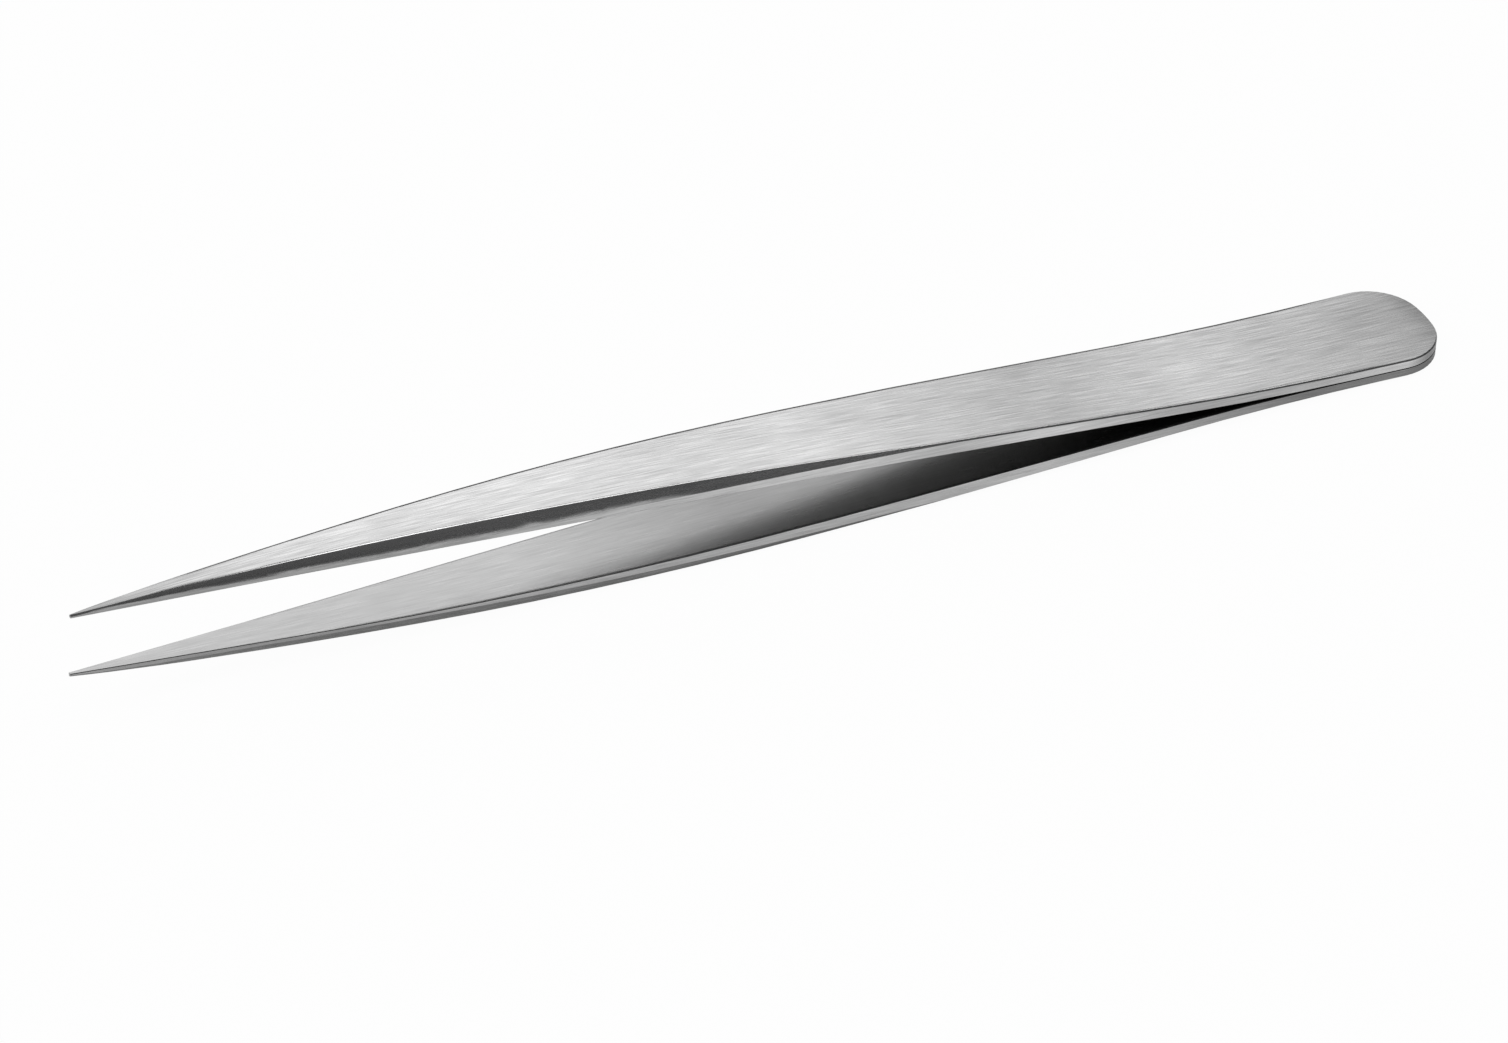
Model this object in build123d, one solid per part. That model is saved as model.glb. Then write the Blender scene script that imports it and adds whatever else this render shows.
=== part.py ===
# Fine-point precision tweezers in stainless steel: two mirror-image spring arms, welded face to face at the rear.
#
# Each arm is drawn in its own view: x runs from the tip (x = 0) to the round rear end, y across the arm, and z up
# from the mid-plane between the arms. At the end both arms are turned together, so that the tweezers lie on the
# outer face of the lower arm with the tips towards -X, and the origin is under the middle of their box.
from build123d import *
from math import atan2, degrees, radians, sqrt, tan
import os

# Driving dimensions, in millimetres and degrees
overall_length = 120.0          # tip to rear end, along the mid-plane

# Each bend is an arc. Its size is the length that it takes up of both straight runs beside it.

# Inner face in the side view
tip_gap = 5.3                   # between the two tips, arms relaxed
bow_place = 43.6                # from the tip to where the arm turns back towards its partner
bow_gap = 6.68                  # between the two arms there, before the turn is rounded
bow_bend = 27.4
weld_length = 16.8              # from the rear end to where the two arms part
weld_bend = 7.5

# Outer face in the side view: how much metal stands on the inner face
rear_thickness = 0.78           # over the weld
rear_flat_length = 16.6         # from the rear end to where the outer face leaves the flat
rear_bend = 10.0
point_length = 8.6              # the fine point, ground down further than the rest
point_thickness = 0.85
point_bend = 1.3
belly_distance = 31.6           # from the point to the thickest stretch, where the fingers press
belly_thickness = 1.83          # before the belly is rounded
belly_bend = 24.5
tip_thickness = 0.3

# Outline of the blank, seen from above
tip_half_width = 0.15
shoulder_place = 39.3           # where the long taper meets the nearly straight sides
shoulder_half_width = 3.6       # before the shoulder is rounded
shoulder_bend = 17.7
rear_half_width = 5.35          # before the rear end is rounded
end_arc_radius = 12.5           # the flat arc across the rear end
end_corner_radius = 4.4         # the arcs that join it to the sides

# Bevels ground along both outer edges of the front
bevel_run_out = 77.2            # where the bevel leaves the outline
bevel_knee_place = 44.8         # where the ground line bends
bevel_knee_width = 0.52         # width of the bevel there, seen from above
bevel_knee_bend = 11.0
bevel_tip_width = 0.12          # its width at the tip
bevel_slope = 30.8              # its lean from the side wall
bevel_tip_crown = 0.11          # rise of its convex section at the tip, as a share of the chord
bevel_run_out_crown = 0.04      # and where it runs out
bevel_sections = 9              # sections that the grind is lofted through

# Broken edges
outer_edge_break = 0.10
inner_edge_break = 0.05

# How far a cutter or a drawn-through view stands past the metal
cutter_margin = 1.0

# How far a face may lean and still count as the outer or the inner one
facing_lean = 30.0

# Fineness of the searches along a drawn line
search_tolerance = 1e-9
search_steps = 2000


def bent_line(points, bends):
    """A drawn line whose corners are arcs, each of which takes up a given length of both its straight runs."""
    radii = []
    for before, corner, after, bend in zip(points, points[1:], points[2:], bends):
        turn = (Vector(*corner) - Vector(*before)).get_angle(Vector(*after) - Vector(*corner))
        radii.append(bend / tan(radians(turn / 2)))
    return FilletPolyline(*points, radius=radii)


def value_at(line, place):
    """Second coordinate of a drawn line that runs towards +X, at a place along X."""
    low, high = 0.0, 1.0
    while high - low > search_tolerance:
        middle = (low + high) / 2
        if (line @ middle).X < place:
            low = middle
        else:
            high = middle
    return (line @ low).Y


def inner_corners():
    """Corners of the inner face in the side view, before its bends are rounded."""
    return [
        (0, tip_gap / 2),
        (bow_place, bow_gap / 2),
        (overall_length - weld_length, 0),
        (overall_length, 0),
    ]


def inner_line():
    """Side view of the inner face, from the tip to the rear end."""
    return bent_line(inner_corners(), [bow_bend, weld_bend])


def outer_line():
    """Side view of the outer face, which stands on the unrounded inner face by the metal's thickness."""
    inner = Polyline(*inner_corners())
    belly_place = point_length + belly_distance
    corners = [
        (0, tip_gap / 2 + tip_thickness),
        (point_length, value_at(inner, point_length) + point_thickness),
        (belly_place, value_at(inner, belly_place) + belly_thickness),
        (overall_length - rear_flat_length, rear_thickness),
        (overall_length, rear_thickness),
    ]
    return bent_line(corners, [point_bend, belly_bend, rear_bend])


def blank_side():
    """One side of the blank's outline, from the tip to the arc across the rear end."""
    end_arc_rise = end_arc_radius - sqrt(end_arc_radius**2 - rear_half_width**2)
    corners = [
        (0, tip_half_width),
        (shoulder_place, shoulder_half_width),
        (overall_length - end_arc_rise, rear_half_width),
    ]
    return bent_line(corners, [shoulder_bend])


def ground_side():
    """One side of the outer face's outline, along the top of the bevel."""
    blank = blank_side()
    corners = [
        (0, tip_half_width - bevel_tip_width),
        (bevel_knee_place, value_at(blank, bevel_knee_place) - bevel_knee_width),
        (bevel_run_out, value_at(blank, bevel_run_out)),
    ]
    return bent_line(corners, [bevel_knee_bend])


def side_view_prism():
    """The arm's side view, drawn through its full width."""
    inner = inner_line()
    outer = outer_line()
    tip = Line(inner @ 0, outer @ 0)
    rear = Line(inner @ 1, outer @ 1)
    view = Plane.XZ * make_face([inner, outer, tip, rear])
    return extrude(view, amount=rear_half_width + cutter_margin, both=True)


def outline_prism():
    """The blank's outline with its round rear end, drawn through the full height."""
    near = blank_side()
    far = near.mirror(Plane.XZ)
    end = ThreePointArc(near @ 1, (overall_length, 0), far @ 1)
    tip = Line(near @ 0, far @ 0)
    outline = make_face([near, far, end, tip])
    corners = outline.vertices().filter_by(lambda corner: corner.X > overall_length - weld_length)
    outline = fillet(corners, radius=end_corner_radius)
    return extrude(outline, amount=bow_gap / 2 + belly_thickness + cutter_margin)


def faces_towards(solid, direction):
    """Faces of a solid that look the given way or lean only a little from it."""
    return solid.faces().filter_by(lambda face: face.normal_at().get_angle(direction) < facing_lean)


def rim_of(faces, smallest_place):
    """Edges round a run of smooth faces, apart from the short one across the tip."""
    edges = faces.edges()
    rim = [edge for edge in edges if sum(edge.is_same(other) for other in edges) == 1]
    return [edge for edge in rim if edge.center().X > smallest_place]


def break_edges(blank):
    """The blank with small chamfers round its outer and its inner face."""
    blank = chamfer(rim_of(faces_towards(blank, Vector(0, 0, 1)), outer_edge_break), outer_edge_break)
    return chamfer(rim_of(faces_towards(blank, Vector(0, 0, -1)), inner_edge_break), inner_edge_break)


def bevel_section(place, outer, blank, ground):
    """Section of the bevel's cutter: all that is outside a convex arc from the outer face to the side wall."""
    crown = bevel_tip_crown + (bevel_run_out_crown - bevel_tip_crown) * place / bevel_run_out
    wall = value_at(blank, place)
    top = Vector(value_at(ground, place), value_at(outer, place))
    foot = Vector(wall, top.Y - (wall - top.X) / tan(radians(bevel_slope)))
    chord = foot - top
    outward = Vector(-chord.Y, chord.X).normalized()
    crest = (top + foot) / 2 + outward * chord.length * crown
    arc = ThreePointArc(top, crest, foot)
    above = top - (arc % 0) * cutter_margin
    below = foot + (arc % 1) * cutter_margin
    corner = Vector(below.X + cutter_margin, above.Y + cutter_margin)
    section = make_face([Line(above, top), arc, Line(foot, below), Line(below, corner), Line(corner, above)])
    return Plane(origin=(place, 0, 0), x_dir=(0, 1, 0), z_dir=(1, 0, 0)) * section


def bevel_cutter():
    """The metal that the grind takes off one outer edge, from the tip to just before the run-out."""
    outer = outer_line()
    blank = blank_side()
    ground = ground_side()
    length = bevel_run_out - cutter_margin
    places = [length * index / (bevel_sections - 1) for index in range(bevel_sections)]
    return loft([bevel_section(place, outer, blank, ground) for place in places])


def make_upper_arm():
    """The upper arm in its own view: a bowed blank, its edges broken and its front bevelled to a fine point."""
    arm = break_edges(side_view_prism() & outline_prism())
    cutter = bevel_cutter()
    return arm - cutter - cutter.mirror(Plane.XZ)


def resting_tilt():
    """Angle between the mid-plane and the table: the lower arm touches it at its belly and its rear end."""
    outer = outer_line()
    rear = outer @ 1
    points = [outer @ (index / search_steps) for index in range(search_steps)]
    return max(degrees(atan2(point.Y - rear.Y, rear.X - point.X)) for point in points)


def lay_down(arms):
    """Both arms turned to their resting place, with the origin under the middle of their box."""
    turned = [Rot(Y=resting_tilt()) * arm for arm in arms]
    boxes = [arm.bounding_box() for arm in turned]
    front = min(box.min.X for box in boxes)
    back = max(box.max.X for box in boxes)
    table = min(box.min.Z for box in boxes)
    return [Pos(-(front + back) / 2, 0, -table) * arm for arm in turned]


os.makedirs("parts", exist_ok=True)
upper_arm = make_upper_arm()
lower_arm = upper_arm.mirror(Plane.XY)
upper_arm, lower_arm = lay_down([upper_arm, lower_arm])
print("resting tilt", round(resting_tilt(), 3), "degrees")
export_step(upper_arm, "parts/upper_arm.step")
export_step(lower_arm, "parts/lower_arm.step")
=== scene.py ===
import bpy
from math import radians, sin, cos
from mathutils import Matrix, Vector


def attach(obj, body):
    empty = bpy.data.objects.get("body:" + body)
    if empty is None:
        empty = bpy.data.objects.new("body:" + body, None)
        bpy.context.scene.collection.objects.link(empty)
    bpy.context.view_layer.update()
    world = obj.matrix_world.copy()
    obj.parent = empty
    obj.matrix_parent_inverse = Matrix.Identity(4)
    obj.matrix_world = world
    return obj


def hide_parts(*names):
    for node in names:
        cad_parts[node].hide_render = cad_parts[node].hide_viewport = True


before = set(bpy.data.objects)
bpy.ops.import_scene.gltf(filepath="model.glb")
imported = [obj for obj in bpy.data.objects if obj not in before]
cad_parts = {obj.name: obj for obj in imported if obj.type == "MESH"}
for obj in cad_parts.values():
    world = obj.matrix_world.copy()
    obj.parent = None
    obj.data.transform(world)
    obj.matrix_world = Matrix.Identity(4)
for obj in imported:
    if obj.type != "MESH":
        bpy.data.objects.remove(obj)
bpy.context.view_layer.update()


bpy.ops.object.select_all(action="DESELECT")
scene = bpy.context.scene
scene.view_settings.view_transform = "Standard"
print("frame loaded:", sorted(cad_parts))


def newMaterial(name):
    material = bpy.data.materials.new(name)
    material.use_nodes = True
    material.node_tree.nodes.clear()
    return material, material.node_tree.nodes, material.node_tree.links


def addNode(nodes, kind, place, inputs=None, **settings):
    node = nodes.new(kind)
    node.location = place
    for key, value in settings.items():
        setattr(node, key, value)
    for socket, value in (inputs or {}).items():
        node.inputs[socket].default_value = value
    return node


def addMath(nodes, operation, place, inputs=None, **settings):
    return addNode(nodes, "ShaderNodeMath", place, inputs, operation=operation, **settings)


def addRange(nodes, place, source, target=(0.0, 1.0)):
    ends = {"From Min": source[0], "From Max": source[1], "To Min": target[0], "To Max": target[1]}
    return addNode(nodes, "ShaderNodeMapRange", place, ends)


def addRamp(nodes, place, stops):
    # a ramp of greys, from (position, grey) pairs
    node = addNode(nodes, "ShaderNodeValToRGB", place)
    elements = node.color_ramp.elements
    while len(elements) < len(stops):
        elements.new(1.0)
    for element, (position, grey) in zip(elements, stops):
        element.position = position
        element.color = (grey, grey, grey, 1.0)
    return node


def linkAll(links, pairs):
    for output, socket in pairs:
        links.new(output, socket)


cameraLook = {
    "place": (-0.249868, -0.507258, 0.420799),
    "turn": (53.3123, -0.3712, -25.8325),  # degrees, the small middle turn is the photographer's slight roll
    "lens": 210.7,
    "sensorWidth": 36.0,
    "clipEnd": 50.0,
}


def addCamera(look):
    bpy.ops.object.camera_add(location=look["place"], rotation=[radians(angle) for angle in look["turn"]])
    camera = bpy.context.object
    camera.name = "productCamera"
    camera.data.lens = look["lens"]
    camera.data.sensor_width = look["sensorWidth"]
    camera.data.clip_end = look["clipEnd"]
    scene.camera = camera


addCamera(cameraLook)
print("camera set")

# a pale floor in a dim room, lit by six softboxes
studio = {
    "floorSize": 16.0,
    "floorColour": (0.80, 0.80, 0.80, 1.0),
    "backgroundWhite": (0.995, 0.995, 0.995, 1.0),
    "cameraWhiteShare": 0.97,     # how much of the floor the camera sees as plain background white
    "glossyWhiteShare": 0.12,     # and how much of it the steel sees so
    "roomColour": (0.11, 0.11, 0.112, 1.0),
}

softboxes = {
    "overheadSoftbox": {"place": (0.5, -0.1, 2.6), "aim": (0, 0, 0), "size": (1.7, 1.7), "power": 31.0},
    "keySoftbox": {"place": (-1.7, -0.75, 1.5), "aim": (0, 0, 0), "size": (1.8, 1.8), "power": 34.0},
    "farSoftbox": {"place": (1.05, 2.35, 1.95), "aim": (0, 0, 0), "size": (3.2, 1.4), "power": 10.0},
    "nearSoftbox": {"place": (0.075, 0.33, 0.25), "aim": (-0.03, 0, 0), "size": (0.40, 0.26), "power": 0.29},
    "sideSoftbox": {"place": (1.45, -1.25, 0.50), "aim": (0, 0, 0), "size": (0.7, 0.7), "power": 1.9},
    "leftSoftbox": {"place": (-0.95, -1.50, 1.15), "aim": (0, 0, 0), "size": (0.9, 0.9), "power": 2.4},
}


def addFloor(look):
    bpy.ops.mesh.primitive_plane_add(size=look["floorSize"], location=(0, 0, 0))
    floor = bpy.context.object
    floor.name = "paleFloor"
    material, nodes, links = newMaterial("paleFloorPaper")
    output = addNode(nodes, "ShaderNodeOutputMaterial", (900, 0))
    mix = addNode(nodes, "ShaderNodeMixShader", (700, 0))
    paper = addNode(nodes, "ShaderNodeBsdfDiffuse", (450, -80), {"Color": look["floorColour"]})
    white = addNode(nodes, "ShaderNodeEmission", (450, -220), {"Color": look["backgroundWhite"]})
    path = addNode(nodes, "ShaderNodeLightPath", (-300, 300))
    seenByCamera = addMath(nodes, "MULTIPLY", (0, 300), {1: look["cameraWhiteShare"]})
    seenBySteel = addMath(nodes, "MULTIPLY", (0, 120), {1: look["glossyWhiteShare"]})
    seenThrough = addMath(nodes, "MULTIPLY", (0, -60), {1: look["cameraWhiteShare"]})
    first = addMath(nodes, "ADD", (220, 220))
    both = addMath(nodes, "ADD", (400, 160), use_clamp=True)
    linkAll(links, [
        (path.outputs["Is Camera Ray"], seenByCamera.inputs[0]),
        (path.outputs["Is Glossy Ray"], seenBySteel.inputs[0]),
        (path.outputs["Is Transmission Ray"], seenThrough.inputs[0]),
        (seenByCamera.outputs[0], first.inputs[0]),
        (seenBySteel.outputs[0], first.inputs[1]),
        (first.outputs[0], both.inputs[0]),
        (seenThrough.outputs[0], both.inputs[1]),
        (both.outputs[0], mix.inputs[0]),
        (paper.outputs[0], mix.inputs[1]),
        (white.outputs[0], mix.inputs[2]),
        (mix.outputs[0], output.inputs[0]),
    ])
    floor.data.materials.append(material)


def addRoom(look):
    world = bpy.data.worlds.new("studioRoom")
    scene.world = world
    world.use_nodes = True
    nodes, links = world.node_tree.nodes, world.node_tree.links
    nodes.clear()
    output = addNode(nodes, "ShaderNodeOutputWorld", (500, 0))
    mix = addNode(nodes, "ShaderNodeMixShader", (300, 0))
    room = addNode(nodes, "ShaderNodeBackground", (50, 60), {"Color": look["roomColour"]})
    white = addNode(nodes, "ShaderNodeBackground", (50, -80), {"Color": look["backgroundWhite"]})
    path = addNode(nodes, "ShaderNodeLightPath", (-200, 260))
    linkAll(links, [
        (path.outputs["Is Camera Ray"], mix.inputs[0]),
        (room.outputs[0], mix.inputs[1]),
        (white.outputs[0], mix.inputs[2]),
        (mix.outputs[0], output.inputs[0]),
    ])


def addSoftbox(name, look):
    away = Vector(look["place"]) - Vector(look["aim"])
    turn = away.to_track_quat("Z", "Y").to_euler()
    bpy.ops.object.light_add(type="AREA", location=look["place"], rotation=turn)
    lamp = bpy.context.object
    lamp.name = name
    lamp.data.shape = "RECTANGLE"
    lamp.data.size, lamp.data.size_y = look["size"]
    lamp.data.energy = look["power"]
    lamp.visible_camera = False


addFloor(studio)
addRoom(studio)
for name, look in softboxes.items():
    addSoftbox(name, look)
print("studio lit")

restingTilt = 2.83  # degrees that the tweezers' mid-plane leans on the table

# all places along the arm are in metres from its middle, the tip is at the lower end
brushing = {
    "arm": (-0.060, 0.060),
    "finePoint": (-0.060, -0.035),  # the tip is polished, the relief and the turned rims grow along here
    "streaks": {"Scale": 1.0, "Detail": 5.0, "Roughness": 0.62},
    "clouds": {"Scale": 1.0, "Detail": 4.0, "Roughness": 0.6, "Distortion": 0.25},
    "cloudShare": 0.18,
    "contrast": (0.36, 0.64),       # noise from here to there runs through the tones and the roughness
    "reliefDepth": 0.00005,
}

rims = {
    "width": 0.00022,               # how wide the turned-over rims are, in metres
    "scale": 10,                    # the rim map stores half-widths this much enlarged
    "roundEnd": (0.048, 0.0545),    # along here the rims fade out towards the round rear end
}

# one steel for each kind of ground surface; the lower arm's bevel and wall and the inner faces are darker
# copies, painted shade
# grain, clouds: how fine they are, per metre along the arm, across it and through it
# paintedShade: painted shade and painted highlights, the share of the tone that is left at places along the
# arm, darker and lighter where light and reflections fall so
# rounding: how far the rims of a broad face are turned over in shading
steelFinishes = {
    "outerFaceSteel": {
        "tone": (0.40, 0.59), "roughness": (0.24, 0.34),
        "grain": (230, 8000, 0), "clouds": (45, 320, 0),
        "bump": 0.14, "anisotropy": 0.5, "rounding": 0.65,
        "paintedShade": [
            (-0.060, 0.52), (-0.052, 0.74), (-0.042, 0.96), (-0.020, 1.0), (-0.010, 0.92), (0.001, 1.0),
            (0.024, 0.76), (0.037, 1.0), (0.048, 0.80), (0.0575, 0.62), (0.060, 0.40),
        ],
    },
    "groundBevelSteel": {
        "tone": (0.32, 0.50), "roughness": (0.22, 0.32),
        "grain": (230, 8000, 8000), "clouds": (45, 320, 320),
        "bump": 0.14, "anisotropy": 0.5,
        "paintedShade": [(-0.060, 0.85), (-0.038, 0.88), (-0.024, 1.0), (-0.006, 0.90), (0.016, 0.80)],
    },
    "sideWallSteel": {
        "tone": (0.58, 0.85), "roughness": (0.20, 0.28),
        "grain": (230, 0, 8000), "clouds": (45, 0, 320),
        "bump": 0.10, "anisotropy": 0.5,
        "paintedShade": [
            (-0.060, 0.50), (-0.030, 0.54), (-0.012, 0.76), (0.005, 0.92), (0.014, 0.70), (0.022, 1.0),
            (0.036, 0.64), (0.048, 0.72), (0.0552, 1.0), (0.0572, 0.40), (0.060, 0.10),
        ],
    },
    # a low tone that darkens further behind the tip: painted shade in the gap between the arms
    "innerFaceSteel": {
        "tone": (0.345, 0.405), "roughness": (0.27, 0.33),
        "grain": (230, 8000, 0), "clouds": (45, 320, 0),
        "bump": 0.09, "anisotropy": 0.3, "rounding": 0.20,
        "paintedShade": [(-0.022, 1.0), (-0.004, 0.66), (0.010, 0.66), (0.026, 0.60)],
    },
    # a darker copy of the bevel steel: painted shade for the lower arm's bevel, which faces the floor
    "shadedLowerBevelSteel": {
        "tone": (0.18, 0.30), "roughness": (0.22, 0.32),
        "grain": (230, 8000, 8000), "clouds": (45, 320, 320),
        "bump": 0.14, "anisotropy": 0.5,
        "paintedShade": [(-0.060, 0.8), (-0.010, 1.0), (0.010, 0.6), (0.018, 0.2)],
    },
    # a darker copy of the side wall steel: painted shade for the lower arm's side wall
    "shadedLowerWallSteel": {
        "tone": (0.48, 0.68), "roughness": (0.20, 0.28),
        "grain": (230, 0, 8000), "clouds": (45, 0, 320),
        "bump": 0.10, "anisotropy": 0.5,
        "paintedShade": [
            (-0.040, 0.60), (-0.024, 0.85), (-0.010, 0.88), (0.006, 0.90), (0.022, 1.0),
            (0.034, 0.75), (0.046, 0.40), (0.055, 0.45), (0.060, 0.15),
        ],
    },
}

colourA, colourB, colourResult = 6, 7, 2  # sockets of a mix node that mixes colours


def addGrain(nodes, links, level, look):
    # fine streaks for the relief, and the same blended with broad clouds for the tones
    streakMap = addNode(nodes, "ShaderNodeMapping", (-480, 120), {"Scale": look["grain"]})
    cloudMap = addNode(nodes, "ShaderNodeMapping", (-480, -260), {"Scale": look["clouds"]})
    streaks = addNode(nodes, "ShaderNodeTexNoise", (-260, 120), brushing["streaks"])
    clouds = addNode(nodes, "ShaderNodeTexNoise", (-260, -260), brushing["clouds"])
    blend = addNode(nodes, "ShaderNodeMix", (0, 20), {"Factor": brushing["cloudShare"]}, data_type="FLOAT")
    linkAll(links, [
        (level, streakMap.inputs["Vector"]),
        (level, cloudMap.inputs["Vector"]),
        (streakMap.outputs["Vector"], streaks.inputs["Vector"]),
        (cloudMap.outputs["Vector"], clouds.inputs["Vector"]),
        (streaks.outputs[0], blend.inputs["A"]),
        (clouds.outputs[0], blend.inputs["B"]),
    ])
    return streaks.outputs[0], blend.outputs["Result"]


# painted shade and painted highlights: a ramp along the arm that darkens and lightens the tone, standing in
# for how light and reflections fall
def addPaintedShade(nodes, links, along, look):
    front, back = brushing["arm"]
    station = addRange(nodes, (-260, 420), (front, back))
    stops = [((metres - front) / (back - front), share) for metres, share in look["paintedShade"]]
    paintedShade = addRamp(nodes, (0, 420), stops)
    linkAll(links, [
        (along, station.inputs["Value"]),
        (station.outputs["Result"], paintedShade.inputs["Fac"]),
    ])
    return paintedShade.outputs["Color"]


def addTurnedRims(nodes, links, along, look):
    # the rim map says the side (-1 near, 1 far) and the half-width, which give the distance to the rim
    rimMap = addNode(nodes, "ShaderNodeUVMap", (-900, -620), uv_map="rimMap")
    rim = addNode(nodes, "ShaderNodeSeparateXYZ", (-700, -620))
    side = addMath(nodes, "ABSOLUTE", (-500, -560))
    inward = addMath(nodes, "SUBTRACT", (-340, -560), {0: 1.0}, use_clamp=True)
    distance = addMath(nodes, "MULTIPLY", (-180, -620))
    fullTurn = addRange(nodes, (-180, -900), brushing["finePoint"], (0.0, look["rounding"]))
    rearTurn = addRange(nodes, (-20, -900), rims["roundEnd"], (0.0, 0.0))
    turn = addRange(nodes, (0, -620), (0.0, rims["width"] * rims["scale"]), (0.0, 0.0))
    way = addMath(nodes, "SIGN", (-180, -760))
    push = addMath(nodes, "MULTIPLY", (160, -680))
    sideways = addNode(nodes, "ShaderNodeCombineXYZ", (300, -640))
    shape = addNode(nodes, "ShaderNodeNewGeometry", (160, -420))
    leaning = addNode(nodes, "ShaderNodeVectorMath", (320, -420), operation="ADD")
    worn = addNode(nodes, "ShaderNodeVectorMath", (440, -420), operation="NORMALIZE")
    linkAll(links, [
        (rimMap.outputs["UV"], rim.inputs[0]),
        (rim.outputs["X"], side.inputs[0]),
        (side.outputs[0], inward.inputs[1]),
        (inward.outputs[0], distance.inputs[0]),
        (rim.outputs["Y"], distance.inputs[1]),
        (along, fullTurn.inputs["Value"]),
        (along, rearTurn.inputs["Value"]),
        (fullTurn.outputs["Result"], rearTurn.inputs["To Min"]),
        (rearTurn.outputs["Result"], turn.inputs["To Min"]),
        (distance.outputs[0], turn.inputs["Value"]),
        (rim.outputs["X"], way.inputs[0]),
        (turn.outputs["Result"], push.inputs[0]),
        (way.outputs[0], push.inputs[1]),
        (push.outputs[0], sideways.inputs["Y"]),
        (shape.outputs["Normal"], leaning.inputs[0]),
        (sideways.outputs[0], leaning.inputs[1]),
        (leaning.outputs["Vector"], worn.inputs[0]),
    ])
    return worn.outputs["Vector"]


def brushedSteel(name, look):
    material, nodes, links = newMaterial(name)
    output = addNode(nodes, "ShaderNodeOutputMaterial", (1100, 0))
    surface = {"Metallic": 1.0, "Anisotropic": look["anisotropy"]}
    steel = addNode(nodes, "ShaderNodeBsdfPrincipled", (820, 0), surface)
    place = addNode(nodes, "ShaderNodeTexCoord", (-900, 0))
    level = addNode(nodes, "ShaderNodeMapping", (-700, 0), {"Rotation": (0, radians(-restingTilt), 0)})
    apart = addNode(nodes, "ShaderNodeSeparateXYZ", (-480, 420))
    streaks, tones = addGrain(nodes, links, level.outputs["Vector"], look)
    low, high = brushing["contrast"]
    dark, light = look["tone"]
    smooth, rough = look["roughness"]
    colour = addRamp(nodes, (240, 160), [(low, dark), (high, light)])
    gloss = addRange(nodes, (240, -120), (low, high), (rough, smooth))
    # the tone is multiplied by the painted shade and highlights along the arm
    paintedShade = addPaintedShade(nodes, links, apart.outputs["X"], look)
    multiply = {"data_type": "RGBA", "blend_type": "MULTIPLY"}
    shadedTone = addNode(nodes, "ShaderNodeMix", (420, 320), {"Factor": 1.0}, **multiply)
    calm = addRange(nodes, (300, -260), brushing["finePoint"], (0.0, look["bump"]))
    relief = addNode(nodes, "ShaderNodeBump", (560, -220), {"Distance": brushing["reliefDepth"]})
    grainWay = addNode(nodes, "ShaderNodeTangent", (560, -420), direction_type="UV_MAP", uv_map="grainMap")
    linkAll(links, [
        (place.outputs["Object"], level.inputs["Vector"]),
        (level.outputs["Vector"], apart.inputs[0]),
        (tones, colour.inputs["Fac"]),
        (tones, gloss.inputs["Value"]),
        (colour.outputs["Color"], shadedTone.inputs[colourA]),
        (paintedShade, shadedTone.inputs[colourB]),
        (apart.outputs["X"], calm.inputs["Value"]),
        (calm.outputs["Result"], relief.inputs["Strength"]),
        (streaks, relief.inputs["Height"]),
        (shadedTone.outputs[colourResult], steel.inputs["Base Color"]),
        (gloss.outputs["Result"], steel.inputs["Roughness"]),
        (relief.outputs["Normal"], steel.inputs["Normal"]),
        (grainWay.outputs["Tangent"], steel.inputs["Tangent"]),
        (steel.outputs[0], output.inputs[0]),
    ])
    if "rounding" in look:
        links.new(addTurnedRims(nodes, links, apart.outputs["X"], look), relief.inputs["Normal"])
    return material


steels = {name: brushedSteel(name, look) for name, look in steelFinishes.items()}
print("steel finishes mixed")

armLook = {
    "mergeDistance": 0.0000005,
    "smoothAngle": 24.0,
    "flatLean": 0.94,         # faces that look up or down by this much are outer or inner ones
    "wallLean": 0.15,         # faces that look up or down by less than this are side walls
    "crispFootFrom": -0.014,  # the bevel's foot is a crisp edge from here to its run-out, and soft in front
    "flatWeight": 100,        # how much the flats outweigh their narrow neighbours in the normals
    "grainMapScale": 10,
    "roundFrom": 0.0553,      # where the round rear end begins, whose rims aren't turned over
}

# the steels of the outer face, the bevels, the side wall and the inner face
arms = {
    "upperSteelArm": {
        "node": "upper_arm", "outward": 1,
        "steels": ["outerFaceSteel", "groundBevelSteel", "sideWallSteel", "innerFaceSteel"],
    },
    "lowerSteelArm": {
        "node": "lower_arm", "outward": -1,
        "steels": ["outerFaceSteel", "shadedLowerBevelSteel", "shadedLowerWallSteel", "innerFaceSteel"],
    },
}
outerFace, bevel, sideWall, innerFace = range(4)  # their places in that list


def kindOf(face, outward, look):
    tilt = radians(restingTilt)
    lean = (face.normal.x * sin(tilt) + face.normal.z * cos(tilt)) * outward
    if lean > look["flatLean"]:
        return outerFace
    if lean < -look["flatLean"]:
        return innerFace
    return sideWall if abs(lean) < look["wallLean"] else bevel


def sharpenFoot(mesh, look):
    # a crisp border wherever bevel and side wall meet behind the given place
    kinds = {}
    for face in mesh.polygons:
        for key in face.edge_keys:
            kinds.setdefault(key, set()).add(face.material_index)
    for edge in mesh.edges:
        first, second = (mesh.vertices[index].co.x for index in edge.vertices)
        if kinds[edge.key] == {bevel, sideWall} and (first + second) / 2 > look["crispFootFrom"]:
            edge.use_edge_sharp = True


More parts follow.
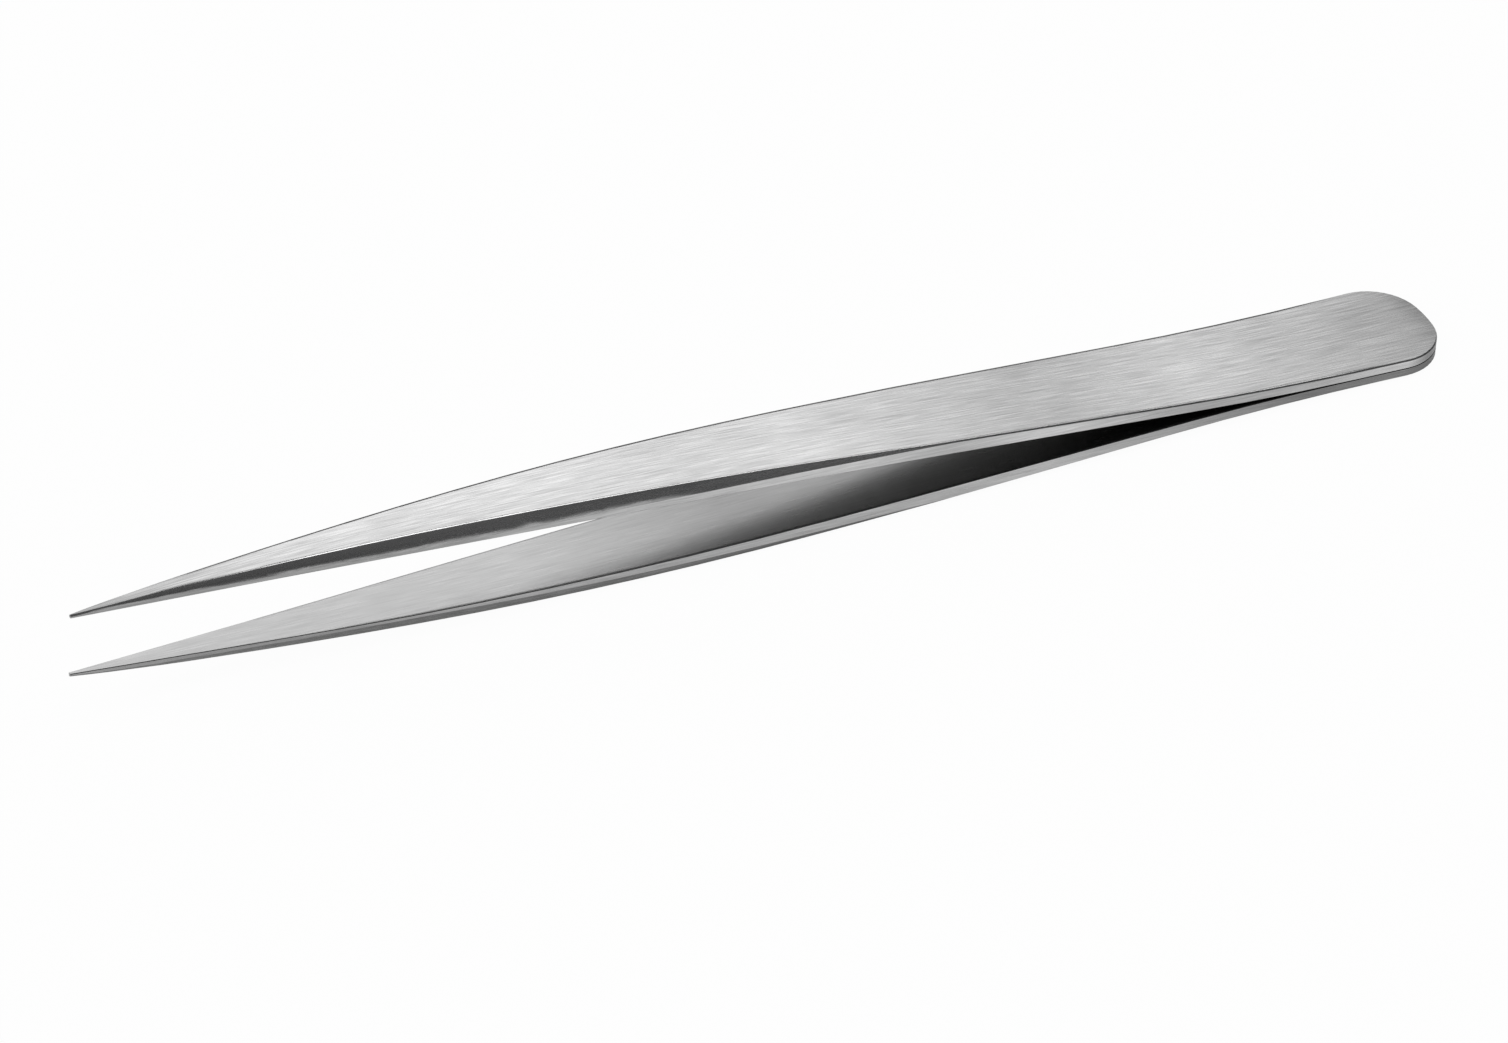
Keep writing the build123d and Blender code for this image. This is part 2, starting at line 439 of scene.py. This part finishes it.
def addMaps(mesh, look):
    # grainMap runs along the arm, rimMap holds the side and the half-width at the rims of the broad faces
    for layer in list(mesh.uv_layers):
        mesh.uv_layers.remove(layer)
    grain = mesh.uv_layers.new(name="grainMap")
    scale = look["grainMapScale"]
    for loop in mesh.loops:
        point = mesh.vertices[loop.vertex_index].co
        grain.data[loop.index].uv = (point.x * scale, (point.y + point.z) * scale)
    rim = mesh.uv_layers.new(name="rimMap")
    widest = max(abs(vertex.co.y) for vertex in mesh.vertices)
    for loop in mesh.loops:
        point = mesh.vertices[loop.vertex_index].co
        if point.x < look["roundFrom"]:
            rim.data[loop.index].uv = (1 if point.y > 0 else -1, abs(point.y) * rims["scale"])
        else:
            rim.data[loop.index].uv = (point.y / widest, widest * rims["scale"])


def dressArm(pieceName, arm, look):
    piece = bpy.data.objects.new(pieceName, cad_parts[arm["node"]].data.copy())
    scene.collection.objects.link(piece)
    bpy.ops.object.select_all(action="DESELECT")
    piece.select_set(True)
    bpy.context.view_layer.objects.active = piece
    bpy.ops.object.mode_set(mode="EDIT")
    bpy.ops.mesh.select_all(action="SELECT")
    bpy.ops.mesh.remove_doubles(threshold=look["mergeDistance"])
    bpy.ops.object.mode_set(mode="OBJECT")
    bpy.ops.mesh.customdata_custom_splitnormals_clear()  # the loose triangles' own normals no longer fit
    bpy.ops.object.shade_smooth_by_angle(angle=radians(look["smoothAngle"]))
    mesh = piece.data
    mesh.materials.clear()
    for name in arm["steels"]:
        mesh.materials.append(steels[name])
    for face in mesh.polygons:
        face.material_index = kindOf(face, arm["outward"], look)
    sharpenFoot(mesh, look)
    level = piece.modifiers.new("levelFlats", "WEIGHTED_NORMAL")  # keeps the flats flat beside their edges
    level.mode = "FACE_AREA"
    level.weight = look["flatWeight"]
    level.keep_sharp = True
    bpy.ops.object.modifier_apply(modifier=level.name)
    addMaps(mesh, look)
    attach(piece, "root")
    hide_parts(arm["node"])
    print(pieceName, "dressed:", len(mesh.polygons), "faces")


for name, arm in arms.items():
    dressArm(name, arm, armLook)
